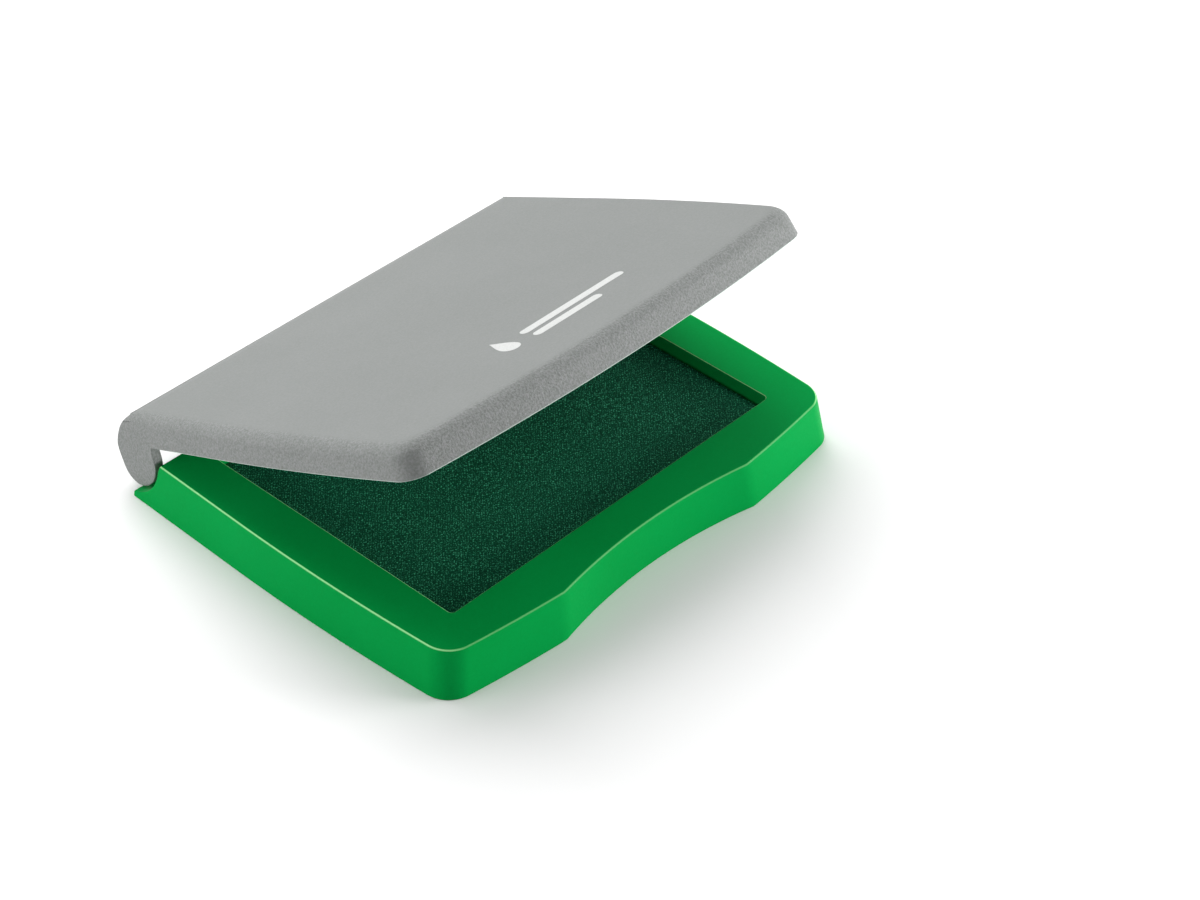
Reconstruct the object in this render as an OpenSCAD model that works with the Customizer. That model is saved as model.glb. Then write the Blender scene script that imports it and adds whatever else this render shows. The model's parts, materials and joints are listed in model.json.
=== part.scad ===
// Hinged stamp pad: a flared tray with a cloth-covered felt pad, and a lid that swings on two pins.
// The long side runs along X, the hinge is at +Y and the finger notch at -Y.
// The origin is on the surface that the pad stands on, 35 mm behind the front of the inking area.

/* [Inking pad] */
// Length of the inking area
pad_length = 110; // [90:1:120]
// Depth of the inking area, from its front edge towards the hinge
pad_width = 79; // [60:1:80]
// Height of the cloth surface
pad_z = 9.3; // [8.7:0.1:10]
// Corner radius of the pad opening
opening_r = 1.2; // [0.8:0.1:3]
// Thickness of the cover cloth
cloth_t = 0.4; // [0.2:0.05:0.5]

/* [Case] */
// Half length at the tray's top edge, at its widest
half_length = 67.85; // [67:0.05:70]
// Distance of the front edge from the middle of the pad
front_reach = 49.65; // [48:0.05:55]
// Height of the tray
tray_h = 12.7; // [12:0.1:14]
// How far the walls flare out from top to bottom
flare = 2.05; // [0:0.05:3]
// Radius of the bow of the short sides
side_bow_r = 625; // [400:5:2000]
// Radius of the bow of the front
front_bow_r = 430; // [300:5:2000]
// Where along the depth the case is widest
widest_y = 4; // [0:1:10]
// Plan radius of the front corners
corner_r = 7.5; // [5:0.1:8]
// Wall thickness of the mouldings
wall = 2.1; // [1.6:0.1:2.4]
// Rounding of the tray's top edge
tray_round = 0.8; // [0.4:0.1:1.2]

/* [Finger notch] */
// How far the notch cuts in at the bottom
notch_depth_bottom = 5.2; // [2:0.1:6]
// How far the notch cuts in at the top
notch_depth_top = 4.2; // [2:0.1:6]
// Radius of the notch at the bottom
notch_r_bottom = 142; // [120:1:200]
// Radius of the notch at the top
notch_r_top = 168; // [120:1:200]

/* [Lid] */
// Height of the lid above its rim
lid_h = 7.8; // [6:0.1:12]
// How far the lid's walls lean in
lid_draft = 1.4; // [0.5:0.1:3]
// Rounding of the lid's top edges
lid_round = 3.8; // [2:0.1:5]
// Plan radius of the lid's front corners
lid_corner_r = 6.6; // [5:0.1:8]
// Angle between lid and tray as drawn
open_angle = 24.5; // [0:0.5:110]
// Gap between the closed lid and the tray
rim_gap = 0.1; // [0.05:0.05:0.5]

/* [Hinge] */
// Distance of the hinge axis from the middle of the pad
hinge_y = 61.7; // [60:0.1:63]
// Height of the hinge axis
hinge_z = 10.8; // [10:0.1:11.5]
// Radius of the trough behind the tray
trough_r = 9.7; // [9.4:0.1:9.8]
// Radius of the lid's ears about the axis
ear_r = 9.1; // [8:0.1:9.2]
// Radius of the lid's rounded back
back_r = 11; // [9:0.1:12]
// Half width over the ears
ear_x = 66; // [65:0.1:66.3]
// Thickness of an ear
ear_t = 2; // [1.8:0.1:2.6]
// Radius of a hinge pin
pin_r = 1.4; // [1:0.05:1.5]
// Radial clearance of a pin in its ear
pin_fit = 0.05; // [0.02:0.01:0.1]
// Radius of the bearing eye round a pin
eye_r = 3; // [2.6:0.1:3.1]
// Thickness of a hinge lug
lug_t = 2.5; // [2:0.1:3]

/* [Hidden] */
cut = 0.5;                                    // overrun of cutting solids
slice = 0.01;                                 // thickness of a hull's slices
wide = 90;                                    // half size of solids that cut right across the case
low = -5;                                     // lower end of solids that cut from below
flank_from = 30;                              // where the straight flanks beside the hinge begin
flank_out = 0.9;                              // how far a flank starts outside the ear
flank_in = 0.5;                               // how far it ends inside the ear
notch_half = 45;                              // half length of the solid that cuts the notch
tray_back = 59.3;                             // rear end of the tray's foot
tray_top_back = 50.9;                         // rear end of the tray's top face
cavity_back = 54;                             // rear end of the space in the tray
foot_z = 0.6;                                 // recess of the bottom plate
plate_t = 1.6;
plate_top = foot_z + plate_t;
plate_gap = 0.25;                             // gap between plate and tray walls
plate_back = 49;                              // rear end of the plate
plate_rib_l = 104;
plate_rib_t = 1.2;
plate_rib_y = [-30 : 12 : 30];
carrier_z = plate_top + 1.2;                  // underside of the carrier, on the plate's ribs
floor_t = 1;
rim_z = 7;                                    // top of the carrier's wall
clamp_top = 8.2;                              // where the clamp meets the bezel
bezel_t = 1.6;                                // thickness of the wall round the opening
felt_top = pad_z - cloth_t;
felt_split = felt_top - 1;
pad_y = pad_width / 2 - 35;                   // middle of the inking area
cloth_gap = 0.2;                              // gap between cloth and opening
cloth_l = pad_length - 2 * cloth_gap;
cloth_w = pad_width - 2 * cloth_gap;
felt_l = cloth_l - 2 * cloth_t;
felt_w = cloth_w - 2 * cloth_t;
frame_l = pad_length + 2 * bezel_t + 0.4;     // outer size of carrier and clamp
frame_w = pad_width + 2 * bezel_t + 0.4;
trough_y = hinge_y - 0.6;                     // axis of the trough
trough_z = hinge_z + 0.1;
ear_front = hinge_y - ear_r - 0.9;            // front of an ear where it leaves the rim
lid_rim = tray_h + rim_gap;
lid_top = lid_rim + lid_h;
inner_round = lid_round - wall + 0.6;         // rounding of the lid's inner edges
back_y = hinge_y - 5.8;                       // centre of the lid's rounded back
back_z = lid_top - back_r;
tail_y = hinge_y - 0.2;                       // centre of the round that joins back and ears
tail_z = back_z - 2.7;
spine_z = hinge_z - 4.2;                      // lower edge of the lid's back wall
spine_t = 1.8;
lug_gap = 0.3;                                // side play of a lug beside its ear
lug_x = ear_x - ear_t - lug_gap - lug_t;      // inner face of a lug
lug_web = [                                   // side view of a lug's web, from the hinge axis
  [-eye_r, 0], [-7.4, -6.5], [-8, 1.2 - hinge_z], [tray_back - hinge_y - 0.2, 1 - hinge_z],
  [0.5, -0.95 * eye_r], [0, 0]
];
slot_top = hinge_z + 3;                       // upper end of the slot that clears a lug
slot_from = hinge_y - ear_r;                  // front end of that slot
ear_from = tray_top_back - 1;                 // front of the solid ears
bore_end = ear_x - 0.7;                       // blind end of a pin's bore
pin_bite = 0.2;                               // how far a pin stops short of its lug's inner face
pin_reach = 1.1;                              // how far a pin reaches into its ear
seal_drop = 1.1;                              // reach of the sealing rib into the opening
seal_gap = 0.8;                               // gap between sealing rib and opening
seal_t = 1.2;
pillars = [for (x = [-1, 1], y = [-39, 0, 43]) [x * 60.4, y]];
pillar_r = 2.2;
peg_r = 1.1;
peg_l = 3;
peg_hole = 4;

// Points of an arc about c, from angle a to angle b
function arc(c, r, a, b, n) = [for (i = [0 : n]) let (t = a + (b - a) * i / n) c + r * [cos(t), sin(t)]];

// Bowed plan shape of the case before its corners are rounded, with straight flanks beside the hinge
module plan_core(grow, back) {
  flank = ear_x + grow;
  intersection() {
    translate([half_length + grow - side_bow_r, widest_y]) circle(side_bow_r, $fn = 720);
    translate([side_bow_r - half_length - grow, widest_y]) circle(side_bow_r, $fn = 720);
    translate([0, front_bow_r - front_reach - grow]) circle(front_bow_r, $fn = 500);
    translate([-wide, -wide]) square([2 * wide, wide + min(back, tray_top_back)]);
  }
  if (back > tray_top_back)
    polygon([
      [-flank - flank_out, flank_from], [-flank + flank_in, back],
      [flank - flank_in, back], [flank + flank_out, flank_from]
    ]);
}

// Plan shape with rounded corners, grown outwards by grow
module plan(grow, back, r) {
  offset(r = r, $fn = 64) offset(delta = -r) plan_core(grow, back);
}

// Thin horizontal slice of a plan shape, for hulls; it narrows upwards so that one edge counts
module plan_slice(z, grow, back, r) {
  translate([0, 0, z]) linear_extrude(slice, scale = 0.99) plan(grow, back, r);
}

// Everything in front of y = back, between two heights
module in_front_of(back, z0, z1) {
  translate([-wide, -wide, z0]) cube([2 * wide, wide + back, z1 - z0]);
}

// Rounded rectangle
module rounded_rect(l, w, r) {
  square([l - 2 * r, w], center = true);
  square([l, w - 2 * r], center = true);
  for (x = [-1, 1], y = [-1, 1])
    translate([x * (l / 2 - r), y * (w / 2 - r)]) circle(r, $fn = 32);
}

// Flat block in line with the pad, between two heights
module slab(l, w, r, z0, z1) {
  translate([0, pad_y, z0]) linear_extrude(z1 - z0) rounded_rect(l, w, r);
}

// Cylinder along X between two places, about the hinge axis
module about_hinge(r, x0, x1, fn) {
  translate([x0, hinge_y, hinge_z]) rotate([0, 90, 0]) cylinder(r = r, h = x1 - x0, $fn = fn);
}

// Cylinder right across the case, about the axis of the trough
module about_trough(r) {
  translate([-wide, trough_y, trough_z]) rotate([0, 90, 0]) cylinder(r = r, h = 2 * wide, $fn = 128);
}

// Solid that cuts the finger notch, with its face moved in by inset
module notch_cutter(inset) {
  hull() {
    notch_slice(-cut, notch_r_bottom, front_reach + flare - notch_depth_bottom - inset);
    notch_slice(tray_h + cut, notch_r_top, front_reach - notch_depth_top - inset);
  }
}

module notch_slice(z, r, reach) {
  translate([0, 0, z]) linear_extrude(slice)
    intersection() {
      translate([0, -reach - r]) circle(r, $fn = 720);
      translate([-notch_half, -wide]) square([2 * notch_half, wide]);
    }
}

// Turns the lid from closed to the angle at which it is drawn
module swung_open() {
  translate([0, hinge_y, hinge_z]) rotate([-open_angle, 0, 0]) translate([0, -hinge_y, -hinge_z])
    children();
}

// Tray ---------------------------------------------------------------------------------------

// Flared outer form with a rounded top edge
module tray_form() {
  hull() {
    plan_slice(0, flare, wide, corner_r);
    for (a = [0 : 22.5 : 90])
      plan_slice(tray_h - slice - tray_round * (1 - sin(a)), -tray_round * (1 - cos(a)), wide, corner_r);
  }
}

// Space inside the outer walls, open below
module tray_cavity() {
  difference() {
    hull() {
      plan_slice(-cut, flare - wall, cavity_back, corner_r - wall);
      plan_slice(tray_h - wall, -wall, cavity_back, corner_r - wall);
    }
    notch_cutter(wall);
    about_trough(trough_r + wall);
  }
}

// Trough that the lid's back turns in
module trough() {
  about_trough(trough_r);
  across(wide)
    polygon([
      [trough_y - trough_r, trough_z], [tray_top_back, tray_h + cut], [wide, tray_h + cut], [wide, trough_z]
    ]);
}

// Web and eye of one hinge lug, from x0 to x0 + lug_t
module hinge_lug(x0) {
  about_hinge(eye_r, x0, x0 + lug_t, 64);
  translate([x0, hinge_y, hinge_z]) rotate([90, 0, 90]) linear_extrude(lug_t) polygon(lug_web);
}

module tray() {
  color("#0b8a3c")
  difference() {
    union() {
      difference() {
        intersection() {
          tray_form();
          in_front_of(tray_back, -1, tray_h + 1);
        }
        notch_cutter(0);
        trough();
        difference() {
          tray_cavity();
          slab(pad_length + 2 * bezel_t, pad_width + 2 * bezel_t, 2, clamp_top, tray_h);
          for (p = pillars)
            translate([p.x, p.y, plate_top]) cylinder(r = pillar_r, h = tray_h, $fn = 32);
        }
      }
      hinge_lug(lug_x);
      hinge_lug(-lug_x - lug_t);
    }
    slab(pad_length, pad_width, opening_r, -cut, tray_h + cut);
    about_hinge(pin_r, -lug_x - lug_t - cut, lug_x + lug_t + cut, 48);
    for (p = pillars)
      translate([p.x, p.y, plate_top - cut]) cylinder(r = peg_r, h = peg_hole + cut, $fn = 32);
  }
}

// Plate that closes the tray from below, held by pegs pressed into the pillars
module bottom_plate() {
  color("#0a7a35")
  union() {
    difference() {
      translate([0, 0, foot_z]) linear_extrude(plate_t) plan(-wall - plate_gap, plate_back, corner_r - wall);
      notch_cutter(wall + plate_gap);
    }
    for (p = pillars)
      translate([p.x, p.y, plate_top - cut]) cylinder(r = peg_r, h = peg_l + cut, $fn = 32);
    for (y = plate_rib_y)
      translate([-plate_rib_l / 2, pad_y + y - plate_rib_t / 2, plate_top - cut])
        cube([plate_rib_l, plate_rib_t, carrier_z - plate_top + cut]);
  }
}

// Pad ----------------------------------------------------------------------------------------

// Dish that the felts lie in
module pad_carrier() {
  color("#d8dad6")
  difference() {
    slab(frame_l, frame_w, 1.5, carrier_z, rim_z);
    slab(felt_l + 0.6, felt_w + 0.6, 1, carrier_z + floor_t, rim_z + cut);
  }
}

// Thick felt that stores the ink
module reservoir_felt() {
  color("#0c3f27") slab(felt_l, felt_w, 1, carrier_z + floor_t, felt_split);
}

// Dense upper felt that feeds the cloth
module transfer_felt() {
  color("#0b4a2c") slab(felt_l, felt_w, 1, felt_split, felt_top);
}

// Cloth drawn over the felts, with its hem spread on the carrier's rim
module cover_cloth() {
  color("#06402a")
  difference() {
    union() {
      slab(cloth_l, cloth_w, 1, rim_z, pad_z);
      slab(frame_l, frame_w, 1.5, rim_z, rim_z + cloth_t);
    }
    slab(felt_l, felt_w, 1, rim_z - cut, felt_top);
  }
}

// Frame that clamps the cloth's hem between the carrier and the tray
module cloth_clamp() {
  color("#c9ccc8")
  difference() {
    slab(frame_l, frame_w, 1.5, rim_z + cloth_t, clamp_top);
    slab(cloth_l + 0.1, cloth_w + 0.1, 1, rim_z, clamp_top + cut);
  }
}

// Hinge --------------------------------------------------------------------------------------

// Pin pressed into a lug, with its free end in the ear
module hinge_pin(side) {
  x0 = lug_x + pin_bite;
  x1 = ear_x - ear_t + pin_reach;
  color("#b9bcc0") about_hinge(pin_r, side > 0 ? x0 : -x1, side > 0 ? x1 : -x0, 48);
}

module hinge_pin_left() { hinge_pin(-1); }
module hinge_pin_right() { hinge_pin(1); }

// Lid, drawn closed and then swung open ------------------------------------------------------

// Outer form above and below the rim: leaning walls, rounded top edges and flat flanks at the back
module lid_form(inset, top, round_r, corner, foot) {
  lean = atan2(lid_draft, lid_h);
  turn = 90 - lean;
  straight = (top - lid_rim) / cos(lean) - round_r * tan(turn / 2);
  side = straight * sin(lean);
  height = lid_rim + straight * cos(lean);
  hull() {
    plan_slice(foot, -inset, wide, corner);
    plan_slice(lid_rim, -inset, wide, corner);
    for (a = [0 : turn / 7 : turn + 0.01])
      plan_slice(
        height + round_r * (sin(lean + a) - sin(lean)) - slice,
        -inset - side - round_r * (cos(lean) - cos(lean + a)),
        wide, corner
      );
  }
}

// Side view of the lid: rim, ears, rounded back and top
module lid_side_view() {
  polygon(concat(
    [[-wide, lid_rim], [-wide, lid_top + cut], [back_y, lid_top + cut]],
    arc([back_y, back_z], back_r, 90, 0, 14),
    arc([tail_y, tail_z], back_y + back_r - tail_y, 0, -60, 8),
    arc([hinge_y, hinge_z], ear_r, -75, -180, 16),
    [[ear_front, lid_rim]]
  ));
}

// Side view of the space in the lid
module lid_hollow_view() {
  polygon(concat(
    [[-wide, low], [-wide, lid_top - wall], [back_y, lid_top - wall]],
    arc([back_y, back_z], back_r - spine_t, 90, 0, 14),
    [[back_y + back_r - spine_t, low]]
  ));
}

// A side view extruded across the case
module across(x) {
  translate([-x, 0, 0]) rotate([90, 0, 90]) linear_extrude(2 * x) children();
}

// Space under the lid; beside the hinge it stops at the ears and takes in all below the back wall
module lid_hollow() {
  between_ears = ear_x - ear_t;
  intersection() {
    lid_form(wall, lid_top - wall, inner_round, lid_corner_r - wall, low);
    union() {
      across(between_ears) lid_hollow_view();
      intersection() {
        across(wide) lid_hollow_view();
        in_front_of(ear_from, low, lid_top);
      }
    }
  }
  translate([-between_ears, tray_top_back, low]) cube([2 * between_ears, 30, spine_z - low]);
}

// Rib that closes round the pad
module seal_rib() {
  l = pad_length - 2 * seal_gap;
  w = pad_width - 2 * seal_gap;
  difference() {
    slab(l, w, 2, tray_h - seal_drop, lid_top - wall + cut);
    slab(l - 2 * seal_t, w - 2 * seal_t, 1.2, 0, lid_top);
  }
}

// Slot in the lid's back that clears a lug, from x0 to the ear
module lug_slot(x0) {
  translate([x0, slot_from, low]) cube([lug_t + 2 * lug_gap, 30, slot_top - low]);
}

module lid() {
  color("#a4a6a4")
  swung_open() {
    difference() {
      intersection() {
        lid_form(0, lid_top, lid_round, lid_corner_r, low);
        across(wide) lid_side_view();
      }
      lid_hollow();
      lug_slot(lug_x - lug_gap);
      lug_slot(-ear_x + ear_t);
      about_hinge(pin_r + pin_fit, -bore_end, bore_end, 48);
    }
    seal_rib();
  }
}

tray();
bottom_plate();
pad_carrier();
reservoir_felt();
transfer_felt();
cover_cloth();
cloth_clamp();
hinge_pin_left();
hinge_pin_right();
lid();
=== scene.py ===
"""An ink pad: a green tray with a cloth-covered pad, and a grey lid on two hinge pins."""

import json
import math

import bmesh
import bpy
from mathutils import Matrix, Vector, noise


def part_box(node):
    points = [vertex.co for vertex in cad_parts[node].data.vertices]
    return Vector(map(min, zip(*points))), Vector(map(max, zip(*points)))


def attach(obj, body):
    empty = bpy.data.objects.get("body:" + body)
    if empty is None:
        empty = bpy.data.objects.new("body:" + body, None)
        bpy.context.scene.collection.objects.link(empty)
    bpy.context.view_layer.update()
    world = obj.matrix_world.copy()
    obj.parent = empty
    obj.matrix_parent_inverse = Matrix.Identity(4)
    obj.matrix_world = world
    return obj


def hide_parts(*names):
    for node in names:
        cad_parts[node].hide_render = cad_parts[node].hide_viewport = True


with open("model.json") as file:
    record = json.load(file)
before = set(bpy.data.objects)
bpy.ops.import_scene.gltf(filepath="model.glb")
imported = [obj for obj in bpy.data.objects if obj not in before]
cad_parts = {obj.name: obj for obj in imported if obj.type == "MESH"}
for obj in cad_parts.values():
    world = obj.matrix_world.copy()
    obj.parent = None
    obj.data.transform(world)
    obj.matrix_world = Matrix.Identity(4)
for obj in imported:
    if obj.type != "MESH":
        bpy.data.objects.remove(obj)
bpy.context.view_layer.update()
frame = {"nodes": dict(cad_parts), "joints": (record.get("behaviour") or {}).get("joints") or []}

MM = 0.001
SHARP = math.radians(35)                         # edges that turn by more are rounded

# Sizes that the case shares with the CAD model, in millimetres ---------------------------------

HALF_LENGTH, FRONT_REACH, WIDEST_Y = 67.85, 49.65, 4.0
SIDE_BOW, FRONT_BOW = 625.0, 430.0
TRAY_H, FLARE, WALL = 12.7, 2.05, 2.1
CORNER_R, LID_CORNER_R = 7.5, 6.6
TRAY_ROUND = 0.8
TRAY_BACK, TRAY_TOP_BACK, CAVITY_BACK = 59.3, 50.9, 54.0
OPENING, OPENING_ROUND, PAD_Y = (110.0, 79.0, 1.2), 0.4, 4.5
BEZEL_T, CLAMP_TOP = 1.6, 8.2
NOTCH_LOW, NOTCH_HIGH = (142.0, 46.5), (168.0, 45.45)
HINGE_Y, HINGE_Z = 61.7, 10.8
TROUGH_Y, TROUGH_Z, TROUGH_R = HINGE_Y - 0.6, HINGE_Z + 0.1, 9.7
EAR_R, BACK_R, EYE_R, PIN_R, PIN_FIT = 9.1, 11.0, 3.0, 1.4, 0.05
EAR_X, EAR_T, LUG_T, LUG_GAP = 66.0, 2.0, 2.5, 0.3
EAR_FRONT, EAR_FROM, BORE_END = HINGE_Y - EAR_R - 0.9, TRAY_TOP_BACK - 1, EAR_X - 0.7
LUG_X = EAR_X - EAR_T - LUG_GAP - LUG_T
LID_RIM = TRAY_H + 0.1
LID_H, LID_DRAFT, LID_ROUND = 7.8, 1.4, 3.8
LID_TOP = LID_RIM + LID_H
BACK_Y, BACK_Z = HINGE_Y - 5.8, LID_TOP - BACK_R
SPINE_T, SPINE_Z, SLOT_TOP = 1.8, HINGE_Z - 4.2, HINGE_Z + 3
PLATE_TOP = 2.2
PILLARS = [(60.4 * s, y) for s in (-1, 1) for y in (-39, 0, 43)]
PILLAR_R = 2.2
SEAL_DROP, SEAL_GAP, SEAL_T = 1.1, 0.8, 1.2
FLANK_LEAN, FLANK_FROM = 0.02, 67                # the flanks beside the hinge close in towards the back
NOTCH_HALF = 50
PAST_BACK, PAST_SIDE, BELOW = 90, 95, -5         # ends of solids that are cut off or that cut right through
LUG_WEB = [                                      # side view of a lug's web, from the hinge axis
    (-EYE_R, 0), (-7.4, -6.5), (-8, 1.2 - HINGE_Z), (TRAY_BACK - HINGE_Y - 0.2, 1 - HINGE_Z),
    (0.5, -0.95 * EYE_R), (0, 0),
]

joint = frame["joints"][0]
HINGE = Vector(joint["pos_m"])
OPEN_ANGLE = -math.radians(joint["range_deg"][0])
SWUNG_OPEN = (
    Matrix.Translation(HINGE) @ Matrix.Rotation(-OPEN_ANGLE, 4, "X") @ Matrix.Translation(-HINGE)
)


# Camera, light and floor ------------------------------------------------------------------------

def add_camera():
    """The photograph's view: angles in degrees, distances in metres."""
    az, el, roll = (math.radians(a) for a in (-48.6, 39.23, 1.92))
    distance, aside, up = 0.7585, 0.0222, 0.00624
    back = Vector((math.sin(az) * math.cos(el), -math.cos(az) * math.cos(el), math.sin(el)))
    right = Vector((math.cos(az), math.sin(az), 0))
    above = back.cross(right)
    side = right * math.cos(roll) + above * math.sin(roll)
    above = back.cross(side)
    cam = bpy.data.objects.new("camera", bpy.data.cameras.new("camera"))
    cam.data.sensor_width = 36
    cam.data.lens = 93.4
    cam.data.clip_start, cam.data.clip_end = 0.01, 50
    place = back * distance + side * aside + above * up
    cam.matrix_world = Matrix.Translation(place) @ Matrix((side, above, back)).transposed().to_4x4()
    bpy.context.scene.collection.objects.link(cam)
    bpy.context.scene.camera = cam


def add_softbox(name, place, aim, size, watts):
    light = bpy.data.lights.new(name, "AREA")
    light.shape = "RECTANGLE"
    light.size, light.size_y = size
    light.energy = watts
    o = bpy.data.objects.new(name, light)
    o.location = place
    o.rotation_euler = (Vector(aim) - Vector(place)).to_track_quat("-Z", "Y").to_euler()
    bpy.context.scene.collection.objects.link(o)


def studio_walls():
    """Pale walls behind the object, falling off to a darker room behind the camera."""
    world = bpy.data.worlds.new("studio")
    world.use_nodes = True
    nodes, links = world.node_tree.nodes, world.node_tree.links
    facing = nodes.new("ShaderNodeVectorMath")
    facing.operation = "DOT_PRODUCT"
    facing.inputs[1].default_value = Vector((0.7, 0.62, 0.35)).normalized()
    fall = nodes.new("ShaderNodeMapRange")
    for socket, value in zip(fall.inputs[1:5], (-0.6, 0.7, 0.1, 0.75)):
        socket.default_value = value
    links.new(nodes.new("ShaderNodeTexCoord").outputs["Generated"], facing.inputs[0])
    links.new(facing.outputs["Value"], fall.inputs["Value"])
    links.new(fall.outputs["Result"], nodes["Background"].inputs["Strength"])
    nodes["Background"].inputs["Color"].default_value = (1, 1, 1, 1)
    return world


def add_studio():
    scene = bpy.context.scene
    scene.view_settings.view_transform = "Standard"
    scene.view_settings.look = "None"
    scene.world = studio_walls()
    add_softbox("key", (0.2, 0.72, 0.95), (0, 0, 0), (0.9, 0.9), 13)
    add_softbox("left", (-1.0, 0.55, 0.22), (0, 0, 0.03), (0.7, 0.35), 6.8)
    add_softbox("right", (0.85, -0.8, 0.2), (0, 0, 0.03), (0.6, 0.3), 14.5)
    bpy.ops.mesh.primitive_plane_add(size=6)
    floor = bpy.context.object
    floor.name = "floor"
    floor.data.materials.append(floor_material())


# Materials --------------------------------------------------------------------------------------

class Nodes:
    """Short names for building a node tree."""

    def __init__(self, name):
        self.material = bpy.data.materials.new(name)
        self.material.use_nodes = True
        self.tree = self.material.node_tree
        self.shader = self.tree.nodes["Principled BSDF"]
        self.coords = self.add("ShaderNodeTexCoord").outputs["Object"]

    def add(self, kind, **inputs):
        node = self.tree.nodes.new(kind)
        for key, value in inputs.items():
            self.feed(node.inputs[key.replace("_", " ")], value)
        return node

    def feed(self, socket, value):
        if isinstance(value, bpy.types.NodeSocket):
            self.tree.links.new(value, socket)
        else:
            socket.default_value = value

    def noise(self, scale, detail=2.0, roughness=0.5, coords=None):
        node = self.add("ShaderNodeTexNoise", Scale=scale, Detail=detail, Roughness=roughness)
        self.feed(node.inputs["Vector"], coords or self.coords)
        return node.outputs["Fac"]

    def math(self, operation, a, b=0.0, c=0.0):
        node = self.tree.nodes.new("ShaderNodeMath")
        node.operation = operation
        for socket, value in zip(node.inputs, (a, b, c)):
            self.feed(socket, value)
        return node.outputs[0]

    def span(self, value, low, high, to_low, to_high):
        node = self.add("ShaderNodeMapRange", Value=value)
        for key, v in (("From Min", low), ("From Max", high), ("To Min", to_low), ("To Max", to_high)):
            node.inputs[key].default_value = v
        return node.outputs["Result"]

    def mix(self, factor, a, b):
        node = self.tree.nodes.new("ShaderNodeMix")
        node.data_type = "RGBA"
        self.feed(node.inputs["Factor"], factor)
        self.feed(node.inputs["A"], a)
        self.feed(node.inputs["B"], b)
        return node.outputs["Result"]

    def facing(self, direction):
        """1 where the surface faces direction, in the object's own frame, and -1 where it faces away."""
        node = self.tree.nodes.new("ShaderNodeVectorMath")
        node.operation = "DOT_PRODUCT"
        node.inputs[1].default_value = direction
        self.feed(node.inputs[0], self.add("ShaderNodeTexCoord").outputs["Normal"])
        return node.outputs["Value"]

    def bump(self, height, distance, strength=1.0, below=None):
        node = self.add("ShaderNodeBump", Height=height)
        node.inputs["Strength"].default_value = strength
        node.inputs["Distance"].default_value = distance
        if below is not None:
            self.feed(node.inputs["Normal"], below)
        return node.outputs["Normal"]

    def set(self, **inputs):
        for key, value in inputs.items():
            self.feed(self.shader.inputs[key.replace("_", " ")], value)
        return self.material


def floor_material():
    n = Nodes("floor")
    shade = n.span(n.noise(3.0), 0.3, 0.7, 0.0, 1.0)
    return n.set(Base_Color=n.mix(shade, (0.93, 0.93, 0.93, 1), (0.95, 0.95, 0.95, 1)), Roughness=0.9)


def lid_material():
    """Light grey plastic: the top is smooth, the rounded edges and the sides have a spark-eroded grain; a
    painted highlight runs along the front of the lower rim.
    """
    n = Nodes("lid_plastic")
    tilt = n.facing(SWUNG_OPEN.to_3x3() @ Vector((0, 0, 1)))
    grained = n.span(tilt, 0.995, 0.93, 0.12, 1.0)
    depth = n.add("ShaderNodeSeparateXYZ", Vector=n.coords).outputs["Y"]
    # rim: painted highlight, a pale mint line on the downward-facing rounded edge of the lower rim, only
    # towards the front
    rim = n.math("MULTIPLY", n.span(tilt, 0.05, -0.15, 0.0, 1.0), n.span(tilt, -0.98, -0.9, 0.0, 1.0))
    rim = n.math("MULTIPLY", rim, n.span(depth, 44 * MM, 48 * MM, 1.0, 0.0))
    pits = n.noise(1900.0, 3.0, 0.6)
    specks = n.span(pits, 0.36, 0.64, -0.8, 0.8)
    cloud = n.span(n.noise(35.0, 3.0, 0.6), 0.3, 0.7, -0.12, 0.12)
    shade = n.math("ADD", n.math("MULTIPLY", specks, grained), cloud)
    base = n.mix(n.span(shade, -1.1, 1.1, 0.0, 1.0), (0.16, 0.173, 0.163, 1), (0.262, 0.27, 0.268, 1))
    # the painted rim highlight, mixed into the base colour
    base = n.mix(n.math("MULTIPLY", rim, 0.7), base, (0.62, 0.75, 0.68, 1))
    return n.set(
        Base_Color=base,
        Roughness=n.span(pits, 0.3, 0.7, 0.66, 0.54),
        Specular_IOR_Level=0.25,
        Normal=n.bump(n.math("MULTIPLY", pits, grained), 0.0003, 0.9),
    )


def tray_material():
    """Saturated green plastic with a satin mould finish; a painted highlight makes it brighter along its
    rounded top edge.
    """
    n = Nodes("tray_plastic")
    tilt = n.facing(Vector((0, 0, 1)))
    height = n.add("ShaderNodeSeparateXYZ", Vector=n.coords).outputs["Z"]
    # edge: painted highlight, a pale mint line on the rounded top edge, fullest where the edge faces
    # sideways and weaker along the front and back
    edge = n.math("MULTIPLY", n.span(tilt, 0.55, 0.75, 0.0, 1.0), n.span(tilt, 0.9, 0.96, 1.0, 0.0))
    edge = n.math("MULTIPLY", edge, n.span(height, 11.6 * MM, 12 * MM, 0.0, 1.0))
    sideways = n.math("ABSOLUTE", n.facing(Vector((1, 0, 0))))
    edge = n.math("MULTIPLY", edge, n.span(sideways, 0.15, 0.45, 0.3, 1.0))
    fine = n.noise(1600.0, 2.0, 0.6)
    flow = n.noise(25.0, 2.0, 0.5)
    shade = n.math("ADD", n.span(flow, 0.3, 0.7, 0.0, 0.7), n.span(fine, 0.35, 0.65, 0.0, 0.3))
    base = n.mix(shade, (0.001, 0.275, 0.048, 1), (0.0015, 0.322, 0.063, 1))
    # the painted edge highlight, mixed into the base colour
    base = n.mix(n.math("MULTIPLY", edge, 0.9), base, (0.42, 0.95, 0.4, 1))
    return n.set(
        Base_Color=base,
        Roughness=n.span(fine, 0.3, 0.7, 0.44, 0.32),
        Specular_IOR_Level=n.span(edge, 0.0, 1.0, 0.02, 0.6),
        Specular_Tint=(0.3, 1.0, 0.5, 1),
        Normal=n.bump(fine, 0.00002, 0.5),
    )


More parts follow.
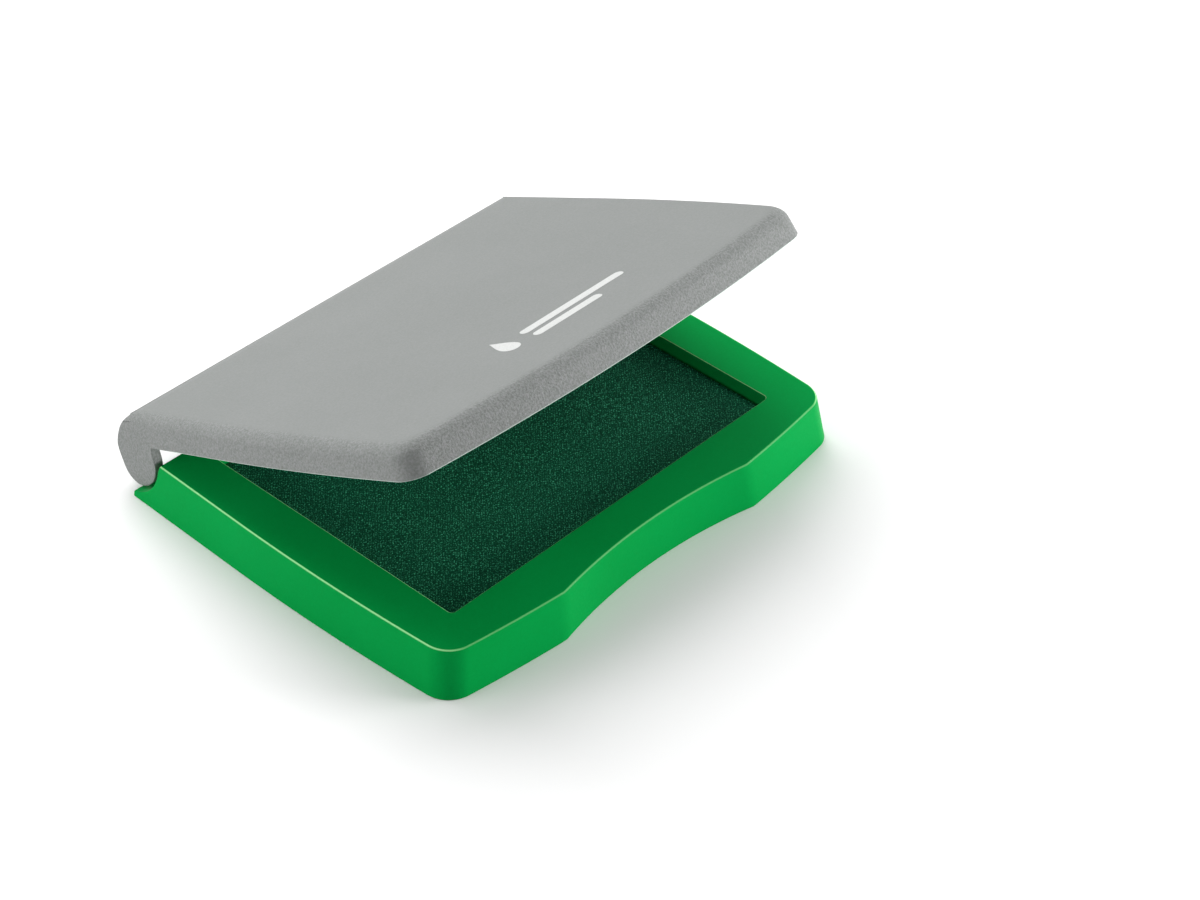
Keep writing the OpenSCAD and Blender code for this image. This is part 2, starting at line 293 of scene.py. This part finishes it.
def inner_material():
    n = Nodes("inner_plastic")
    fine = n.noise(900.0, 2.0, 0.5)
    base = n.mix(n.span(fine, 0.3, 0.7, 0.0, 1.0), (0.62, 0.63, 0.6, 1), (0.7, 0.71, 0.68, 1))
    rough = n.span(fine, 0.3, 0.7, 0.55, 0.42)
    return n.set(Base_Color=base, Roughness=rough, Normal=n.bump(fine, 0.00002, 0.5))


def steel_material():
    n = Nodes("pin_steel")
    drawn = n.add("ShaderNodeVectorMath")
    drawn.operation = "MULTIPLY"
    drawn.inputs[1].default_value = (1, 12, 12)
    n.feed(drawn.inputs[0], n.coords)
    lines = n.noise(700.0, 2.0, 0.6, drawn.outputs[0])
    base = n.mix(lines, (0.5, 0.51, 0.52, 1), (0.68, 0.69, 0.7, 1))
    rough = n.span(lines, 0.3, 0.7, 0.25, 0.4)
    return n.set(Base_Color=base, Metallic=1.0, Roughness=rough, Normal=n.bump(lines, 0.00001, 0.4))


def felt_material():
    n = Nodes("ink_felt")
    fibre = n.noise(1400.0, 4.0, 0.7)
    stain = n.noise(60.0, 3.0, 0.6)
    base = n.mix(fibre, (0.003, 0.03, 0.015, 1), (0.012, 0.11, 0.05, 1))
    base = n.mix(n.span(stain, 0.35, 0.65, 0.0, 0.5), base, (0.003, 0.04, 0.02, 1))
    return n.set(Base_Color=base, Roughness=0.85, Normal=n.bump(fibre, 0.0004, 0.8), Sheen_Weight=0.2)


def cloth_material():
    """Fine plain weave, soaked with ink: dark, with small glints on the crowns of the threads."""
    n = Nodes("pad_cloth")
    pitch = 0.8 * MM
    wander = n.add("ShaderNodeTexNoise", Scale=420.0, Detail=2.0)
    n.feed(wander.inputs["Vector"], n.coords)
    shift = n.tree.nodes.new("ShaderNodeVectorMath")
    shift.operation = "MULTIPLY_ADD"
    n.feed(shift.inputs[0], wander.outputs["Color"])
    shift.inputs[1].default_value = (0.0009,) * 3
    n.feed(shift.inputs[2], n.coords)
    split = n.add("ShaderNodeSeparateXYZ")
    n.feed(split.inputs[0], shift.outputs[0])
    turn = 2 * math.pi / pitch
    warp = n.math("SINE", n.math("MULTIPLY", split.outputs["X"], turn))
    weft = n.math("SINE", n.math("MULTIPLY", split.outputs["Y"], turn))
    weave = n.span(n.math("MULTIPLY", warp, weft), -1.0, 1.0, 0.0, 1.0)
    fibre = n.noise(5200.0, 3.0, 0.7)
    lumps = n.span(n.noise(2600.0, 2.0, 0.6), 0.52, 0.64, 0.0, 1.0)
    # painted highlight: small bright glints on the crowns of the threads; the same mask also makes the
    # crowns smoother
    painted_crown_glints = n.math("MULTIPLY", n.math("POWER", weave, 1.5), lumps)
    soak = n.span(n.noise(22.0, 3.0, 0.55), 0.3, 0.7, 0.0, 1.0)
    pit = n.span(n.noise(1500.0, 2.0, 0.6), 0.35, 0.6, 0.55, 1.1)
    dark = n.mix(soak, (0.001, 0.073, 0.033, 1), (0.001, 0.09, 0.042, 1))
    dark = n.mix(pit, (0.0005, 0.02, 0.012, 1), dark)
    # paints the glints into the base colour
    base = n.mix(painted_crown_glints, dark, (0.14, 0.9, 0.48, 1))
    height = n.math("ADD", n.math("MULTIPLY", weave, 0.8), n.math("MULTIPLY", fibre, 0.5))
    return n.set(
        Base_Color=base,
        Roughness=n.span(painted_crown_glints, 0.0, 1.0, 0.8, 0.5),
        Specular_IOR_Level=0.12,
        Specular_Tint=(0.5, 1.0, 0.8, 1),
        Normal=n.bump(height, 0.0001, 0.7),
    )


def print_material():
    n = Nodes("white_print")
    grain = n.noise(2300.0, 3.0, 0.65)
    base = n.mix(n.span(grain, 0.3, 0.7, 0.0, 1.0), (0.5, 0.51, 0.5, 1), (0.58, 0.59, 0.58, 1))
    rough = n.span(grain, 0.3, 0.7, 0.6, 0.45)
    return n.set(Base_Color=base, Roughness=rough, Normal=n.bump(grain, 0.00003, 0.6))


# Mesh tools: lengths in millimetres -------------------------------------------------------------

def new_object(name, verts, faces):
    mesh = bpy.data.meshes.new(name)
    mesh.from_pydata([Vector(v) * MM for v in verts], [], faces)
    bm = bmesh.new()
    bm.from_mesh(mesh)
    bmesh.ops.recalc_face_normals(bm, faces=bm.faces)
    bm.to_mesh(mesh)
    bm.free()
    o = bpy.data.objects.new(name, mesh)
    bpy.context.scene.collection.objects.link(o)
    return o


def loft(name, rings):
    """Closed solid through rings of (x, y, z) points, capped at both ends."""
    n = len(rings[0])
    verts = [p for ring in rings for p in ring]
    faces = [
        (k * n + i, k * n + (i + 1) % n, (k + 1) * n + (i + 1) % n, (k + 1) * n + i)
        for k in range(len(rings) - 1)
        for i in range(n)
    ]
    faces += [tuple(range(n - 1, -1, -1)), tuple(range((len(rings) - 1) * n, len(rings) * n))]
    return new_object(name, verts, faces)


def arc(c, r, a, b, n):
    """n + 1 points of an arc about c, from angle a to angle b in degrees."""
    angles = [math.radians(a + (b - a) * i / n) for i in range(n + 1)]
    return [(c[0] + r * math.cos(t), c[1] + r * math.sin(t)) for t in angles]


def prism_x(name, outline, x0, x1):
    """A side view, given as (y, z) points, extruded from x0 to x1."""
    return loft(name, [[(x, y, z) for y, z in outline] for x in (x0, x1)])


def prism_z(name, outline, z0, z1):
    return loft(name, [[(x, y, z) for x, y in outline] for z in (z0, z1)])


def box(name, low, high):
    (x0, y0, z0), (x1, y1, z1) = low, high
    return prism_z(name, [(x0, y0), (x1, y0), (x1, y1), (x0, y1)], z0, z1)


def rounded_rect(l, w, r, n=8):
    corners = ((1, -1, -90), (1, 1, 0), (-1, 1, 90), (-1, -1, 180))
    return [
        p
        for sx, sy, a in corners
        for p in arc((sx * (l / 2 - r), sy * (w / 2 - r)), r, a, a + 90, n)
    ]


def plan(grow, back, r):
    """The case's bowed outline, grown outwards by grow, as (x, y) points up to y = back."""
    side_c = (HALF_LENGTH + grow - SIDE_BOW, WIDEST_Y)
    front_c = (0, FRONT_BOW - FRONT_REACH - grow)
    ra, rb = SIDE_BOW - r, FRONT_BOW - r
    dx, dy = side_c[0] - front_c[0], side_c[1] - front_c[1]
    d = math.hypot(dx, dy)
    along = (rb * rb - ra * ra + d * d) / (2 * d)
    off = math.sqrt(rb * rb - along * along)
    corner = (front_c[0] + (along * dx - off * dy) / d, front_c[1] + (along * dy + off * dx) / d)
    if corner[1] > 0:
        corner = (front_c[0] + (along * dx + off * dy) / d, front_c[1] + (along * dy - off * dx) / d)
    to_side = math.degrees(math.atan2(corner[1] - side_c[1], corner[0] - side_c[0]))
    to_front = math.degrees(math.atan2(corner[1] - front_c[1], corner[0] - front_c[0]))
    flank = (EAR_X + grow - FLANK_LEAN * (back - FLANK_FROM), back)
    fx, fy = flank[0] - side_c[0], flank[1] - side_c[1]
    leave = math.degrees(math.atan2(fy, fx) - math.acos(SIDE_BOW / math.hypot(fx, fy)))
    tangent = arc(side_c, SIDE_BOW, leave, leave, 1)[0]
    straight = [
        (flank[0] + (tangent[0] - flank[0]) * i / 12, flank[1] + (tangent[1] - flank[1]) * i / 12)
        for i in range(12)
    ]
    half = straight + arc(side_c, SIDE_BOW, leave, to_side, 40)
    half += arc(corner, r, to_side, to_front, 18)[1:]
    half += arc(front_c, FRONT_BOW, to_front, -90, 32)[1:]
    return half + [(-x, y) for x, y in half[-2::-1]]


def plan_ring(z, grow, back, r):
    return [(x, y, z) for x, y in plan(grow, back, r)]


def combine(target, other, operation):
    """Boolean of two objects, applied; the other one is removed."""
    m = target.modifiers.new("cut", "BOOLEAN")
    m.operation = operation
    m.solver = "EXACT"
    m.object = other
    apply_modifiers(target)
    bpy.data.objects.remove(other)
    return target


def apply_modifiers(o):
    deps = bpy.context.evaluated_depsgraph_get()
    mesh = bpy.data.meshes.new_from_object(o.evaluated_get(deps))
    o.modifiers.clear()
    old, o.data = o.data, mesh
    bpy.data.meshes.remove(old)


def tidy_mesh(o):
    """Merges doubled points and dissolves the short edges that booleans leave."""
    bm = bmesh.new()
    bm.from_mesh(o.data)
    bmesh.ops.remove_doubles(bm, verts=bm.verts, dist=0.03 * MM)
    bmesh.ops.dissolve_degenerate(bm, edges=bm.edges, dist=0.03 * MM)
    bm.to_mesh(o.data)
    bm.free()


def round_edges(o, width):
    """Rounds the sharp edges of a moulding."""
    tidy_mesh(o)
    m = o.modifiers.new("rounding", "BEVEL")
    m.limit_method = "ANGLE"
    m.angle_limit = SHARP
    m.width = width * MM
    m.segments = 3
    m.use_clamp_overlap = False
    apply_modifiers(o)


def shade(o):
    for p in o.data.polygons:
        p.use_smooth = True
    o.data.set_sharp_from_angle(angle=SHARP)
    m = o.modifiers.new("normals", "WEIGHTED_NORMAL")
    m.keep_sharp = True
    m.weight = 80
    apply_modifiers(o)


def finish_piece(o, body, node, material):
    o.data.materials.clear()
    o.data.materials.append(material)
    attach(o, body)
    if node:
        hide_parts(node)


# Tray -------------------------------------------------------------------------------------------

def notch_y(x, up):
    """Where the notch's face stands at x, up being 0 at the tray's foot and 1 at its top."""
    r, reach = (low + (high - low) * up for low, high in zip(NOTCH_LOW, NOTCH_HIGH))
    return -reach - r + math.sqrt(r * r - x * x)


def notched_ring(z, grow, back, r, inset=0.0):
    """The plan at height z with the finger notch let in."""
    ring = plan_ring(z, grow, back, r)
    return [
        (x, max(y, notch_y(x, z / TRAY_H) + inset) if y < 0 and abs(x) < NOTCH_HALF else y, z)
        for x, y, z in ring
    ]


def moved_in(ring, distance, z):
    """A ring of (x, y, z) points moved in along its own normals, to another height."""
    out = []
    for i, p in enumerate(ring):
        along = Vector(ring[(i + 1) % len(ring)][:2]) - Vector(ring[i - 1][:2])
        out.append((p[0] + distance * along.y / along.length, p[1] - distance * along.x / along.length, z))
    return out


def quarter(n):
    """(in, up) steps of a rounded edge, as parts of its radius."""
    return [(1 - math.cos(math.pi / 2 * i / n), math.sin(math.pi / 2 * i / n)) for i in range(n + 1)]


def cylinder_x(name, r, x0, x1, n=96, y=HINGE_Y, z=HINGE_Z):
    return prism_x(name, arc((y, z), r, 0, 360 * (1 - 1 / n), n - 1), x0, x1)


def opening_cutter():
    l, w, r = OPENING
    foot = TRAY_H - OPENING_ROUND
    steps = [(0, -5)] + [(OPENING_ROUND * i, foot + OPENING_ROUND * up) for i, up in quarter(5)]
    steps += [(OPENING_ROUND, 30)]
    rings = [
        [(x, y + PAD_Y, z) for x, y in rounded_rect(l + 2 * grow, w + 2 * grow, r + grow)]
        for grow, z in steps
    ]
    return loft("opening", rings)


def build_tray():
    top = notched_ring(TRAY_H, 0, PAST_BACK, CORNER_R)
    rings = [notched_ring(0, FLARE, PAST_BACK, CORNER_R)]
    rings += [moved_in(top, TRAY_ROUND * i, TRAY_H - TRAY_ROUND * (1 - up)) for i, up in quarter(5)]
    tray = loft("tray_shell", rings)
    combine(tray, box("behind", (-PAST_SIDE, TRAY_BACK, BELOW), (PAST_SIDE, 110, 20)), "DIFFERENCE")
    hollow = cylinder_x("trough", TROUGH_R, -PAST_SIDE, PAST_SIDE, 160, TROUGH_Y, TROUGH_Z)
    combine(tray, hollow, "DIFFERENCE")
    above = [
        (TROUGH_Y - TROUGH_R, TROUGH_Z), (TRAY_TOP_BACK, TRAY_H), (TRAY_TOP_BACK - 0.1, 20),
        (PAST_SIDE, 20), (PAST_SIDE, TROUGH_Z),
    ]
    combine(tray, prism_x("above", above, -PAST_SIDE, PAST_SIDE), "DIFFERENCE")
    rings = [notched_ring(-0.5, FLARE - WALL, CAVITY_BACK, CORNER_R - WALL, WALL)]
    rings.append(notched_ring(TRAY_H - WALL, -WALL, CAVITY_BACK, CORNER_R - WALL, WALL))
    cavity = loft("cavity", rings)
    combine(cavity, cylinder_x("c", TROUGH_R + WALL, -90, 90, 96, TROUGH_Y, TROUGH_Z), "DIFFERENCE")
    bezel = rounded_rect(OPENING[0] + 2 * BEZEL_T, OPENING[1] + 2 * BEZEL_T, 2)
    bezel = [(x, y + PAD_Y) for x, y in bezel]
    combine(cavity, prism_z("bezel", bezel, CLAMP_TOP, 30), "DIFFERENCE")
    for x, y in PILLARS:
        pillar = arc((x, y), PILLAR_R, 0, 345, 23)
        combine(cavity, prism_z("pillar", pillar, PLATE_TOP, 30), "DIFFERENCE")
    combine(tray, cavity, "DIFFERENCE")
    for x0 in (LUG_X, -LUG_X - LUG_T):
        combine(tray, lug(x0), "UNION")
    combine(tray, opening_cutter(), "DIFFERENCE")
    combine(tray, cylinder_x("bore", PIN_R, -90, 90, 48), "DIFFERENCE")
    round_edges(tray, 0.2)
    shade(tray)
    finish_piece(tray, "case", "tray", tray_material())


def lug(x0):
    """Web and bearing eye of a hinge lug, from x0 to x0 + LUG_T."""
    web = [(HINGE_Y + y, HINGE_Z + z) for y, z in LUG_WEB]
    eye = cylinder_x("lug", EYE_R, x0, x0 + LUG_T, 64)
    return combine(eye, prism_x("web", web, x0, x0 + LUG_T), "UNION")


# Lid: built closed, then swung open ---------------------------------------------------------------

def lid_form(name, inset, top, round_r, corner, foot, steps=14):
    lean = math.atan2(LID_DRAFT, LID_H)
    turn = math.pi / 2 - lean
    straight = (top - LID_RIM) / math.cos(lean) - round_r * math.tan(turn / 2)
    side, height = straight * math.sin(lean), LID_RIM + straight * math.cos(lean)
    rings = [plan_ring(z, -inset, PAST_BACK, corner) for z in (foot, LID_RIM)]
    for i in range(steps + 1):
        a = lean + turn * i / steps
        grow = -inset - side - round_r * (math.cos(lean) - math.cos(a))
        rings.append(plan_ring(height + round_r * (math.sin(a) - math.sin(lean)), grow, PAST_BACK, corner))
    return loft(name, rings)


def lid_side_view():
    low = (HINGE_Y - 0.2, BACK_Z - 2.7)
    return (
        [(-70, LID_RIM), (-70, LID_TOP + 1), (BACK_Y, LID_TOP + 1)]
        + arc((BACK_Y, BACK_Z), BACK_R, 90, 0, 32)
        + arc(low, BACK_Y + BACK_R - low[0], 0, -60, 16)
        + arc((HINGE_Y, HINGE_Z), EAR_R, -75, -180, 36)
        + [(EAR_FRONT, LID_RIM)]
    )


def lid_hollow_view():
    inner = BACK_R - SPINE_T
    return (
        [(-70, -5), (-70, LID_TOP - WALL), (BACK_Y, LID_TOP - WALL)]
        + arc((BACK_Y, BACK_Z), inner, 90, 0, 32)
        + [(BACK_Y + inner, -5)]
    )


def build_lid():
    lid = lid_form("lid_shell", 0, LID_TOP, LID_ROUND, LID_CORNER_R, -5)
    combine(lid, prism_x("side", lid_side_view(), -80, 80), "INTERSECT")
    between = EAR_X - EAR_T
    room = prism_x("room", lid_hollow_view(), -80, 80)
    for x0, x1 in ((between, 90), (-90, -between)):
        combine(room, box("ear", (x0, EAR_FROM, -9), (x1, 99, 40)), "DIFFERENCE")
    hollow = lid_form("hollow", WALL, LID_TOP - WALL, LID_ROUND - WALL + 0.6, LID_CORNER_R - WALL, -5, 8)
    combine(lid, combine(hollow, room, "INTERSECT"), "DIFFERENCE")
    combine(lid, box("below", (-between, TRAY_TOP_BACK, -5), (between, 80, SPINE_Z)), "DIFFERENCE")
    slot_w = LUG_T + 2 * LUG_GAP
    for x0 in (LUG_X - LUG_GAP, -between):
        combine(lid, box("slot", (x0, HINGE_Y - 9, -5), (x0 + slot_w, 90, SLOT_TOP)), "DIFFERENCE")
    combine(lid, cylinder_x("bore", PIN_R + PIN_FIT, -BORE_END, BORE_END, 48), "DIFFERENCE")
    l, w = OPENING[0] - 2 * SEAL_GAP, OPENING[1] - 2 * SEAL_GAP
    outer, inner = (
        [(x, y + PAD_Y) for x, y in rounded_rect(l - t, w - t, r)]
        for t, r in ((0, 2), (2 * SEAL_T, 1.2))
    )
    rib = prism_z("rib", outer, TRAY_H - SEAL_DROP, LID_TOP - WALL + 0.5)
    combine(rib, prism_z("in", inner, 0, 40), "DIFFERENCE")
    combine(lid, rib, "UNION")
    round_edges(lid, 0.3)
    shade(lid)
    lid.data.transform(SWUNG_OPEN)
    finish_piece(lid, "lid", "lid", lid_material())


# Pad ----------------------------------------------------------------------------------------------

def pressed_block(name, length, width, corner, profile, step=0.8, relief=None):
    """A block whose edge follows profile, a list of (outward, height) points from its flat top outwards."""
    inner = Vector((length / 2 - corner, width / 2 - corner))
    depth = len(profile) - 1
    counts = [round(2 * c / step) for c in inner]
    axes = []
    for c, n in zip(inner, counts):
        flat = [-c + 2 * c * i / n for i in range(n + 1)]
        axes.append([-c - (depth - i) for i in range(depth)] + flat + [c + 1 + i for i in range(depth)])
    verts = []
    for y in axes[1]:
        for x in axes[0]:
            c = Vector((min(max(x, -inner.x), inner.x), min(max(y, -inner.y), inner.y)))
            o = Vector((x, y)) - c
            t = max(abs(o.x), abs(o.y))
            out, z = profile[round(t)]
            p = c + o.normalized() * out if t else c
            verts.append((p.x, p.y + PAD_Y, z + (relief(p.x, p.y) if relief else 0)))
    nx, ny = len(axes[0]), len(axes[1])
    faces = [
        (j * nx + i, j * nx + i + 1, (j + 1) * nx + i + 1, (j + 1) * nx + i)
        for j in range(ny - 1)
        for i in range(nx - 1)
    ]
    return new_object(name, verts, faces)


def smooth(o):
    for p in o.data.polygons:
        p.use_smooth = True


def thicken(o, thickness):
    m = o.modifiers.new("thickness", "SOLIDIFY")
    m.thickness = thickness * MM
    m.offset = -1
    m.use_even_offset = True
    apply_modifiers(o)


def build_cloth():
    low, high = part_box("cover_cloth")
    hem_x, hem_z, top = high.x / MM, low.z / MM, high.z / MM
    length, width, corner, edge = OPENING[0] - 0.4, OPENING[1] - 0.4, 1.3, 0.9
    hem = hem_x - length / 2
    cloth_t = 0.35
    top -= 0.05
    profile = [(0, top), (corner - edge, top)]
    profile += [(x, z) for x, z in arc((corner - edge, top - edge), edge, 90, 0, 8)[1:]]
    foot = hem_z + cloth_t + 0.03
    profile += [(corner, foot + 0.4), (corner + 0.1, foot + 0.1)]
    profile += [(corner + 0.4, foot), (corner + hem - 0.1, foot)]

    def relief(x, y):
        inside = max(0.0, 1 - (x / (length / 2)) ** 6) * max(0.0, 1 - (y / (width / 2)) ** 6)
        dip = 0.12 * noise.noise(Vector((x, y, 0)) / 19) + 0.05 * noise.noise(Vector((x, y, 5)) / 6)
        return min(inside, 1) * (dip - 0.06)

    cloth = pressed_block("pad_cover", length, width, corner, profile, 0.8, relief)
    thicken(cloth, cloth_t)
    smooth(cloth)
    finish_piece(cloth, "case", "cover_cloth", cloth_material())


def build_felt(name, node, edge, material):
    low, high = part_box(node)
    l, w = (high.x - low.x) / MM - 0.2, (high.y - low.y) / MM - 0.2
    top, foot = high.z / MM - 0.01, low.z / MM + 0.01
    corner = 1.0
    profile = [(0, top), (corner - edge, top)]
    profile += arc((corner - edge, top - edge), edge, 90, 0, 5)[1:]
    profile += arc((corner - edge, foot + edge), edge, 0, -90, 5)
    felt = pressed_block(name, l, w, corner, profile, 2.0)
    bm = bmesh.new()
    bm.from_mesh(felt.data)
    rim = [e for e in bm.edges if e.is_boundary]
    bmesh.ops.contextual_create(bm, geom=rim)
    bmesh.ops.recalc_face_normals(bm, faces=bm.faces)
    bm.to_mesh(felt.data)
    bm.free()
    smooth(felt)
    finish_piece(felt, "case", node, material)


# Printed mark: an ink drop and two plain bars, flat on the lid ----------------------------------------

def build_mark():
    z0, z1 = LID_TOP + 0.005, LID_TOP + 0.03
    x0, y0 = -16.5, -25.5
    turns = [2 * math.pi * i / 64 for i in range(64)]
    drop = [(x0 + 3.4 * math.sin(t) * math.sin(t / 2) ** 1.5, y0 + 5 * math.cos(t)) for t in turns]
    outlines = {"mark_drop": drop}
    for name, length, y in (("mark_long_bar", 34.0, y0 + 0.6), ("mark_short_bar", 22.0, y0 - 4)):
        bar = rounded_rect(length, 2.8, 1.3)
        outlines[name] = [(x0 + 6.5 + length / 2 + x, y + z) for x, z in bar]
    material = print_material()
    for name, outline in outlines.items():
        mark = prism_z(name, outline, z0, z1)
        mark.data.transform(SWUNG_OPEN)
        finish_piece(mark, "lid", None, material)


# Assembly -------------------------------------------------------------------------------------------

def dress_cad_nodes():
    inner, steel, green = inner_material(), steel_material(), tray_material()
    looks = {
        "pad_carrier": inner, "cloth_clamp": inner, "bottom_plate": green,
        "hinge_pin_left": steel, "hinge_pin_right": steel,
    }
    for name, material in looks.items():
        node = frame["nodes"][name]
        node.data.materials.clear()
        node.data.materials.append(material)


add_camera()
add_studio()
build_tray()
build_lid()
build_cloth()
felt = felt_material()
build_felt("felt_store", "reservoir_felt", 0.4, felt)
build_felt("felt_feed", "transfer_felt", 0.25, felt)
build_mark()
dress_cad_nodes()
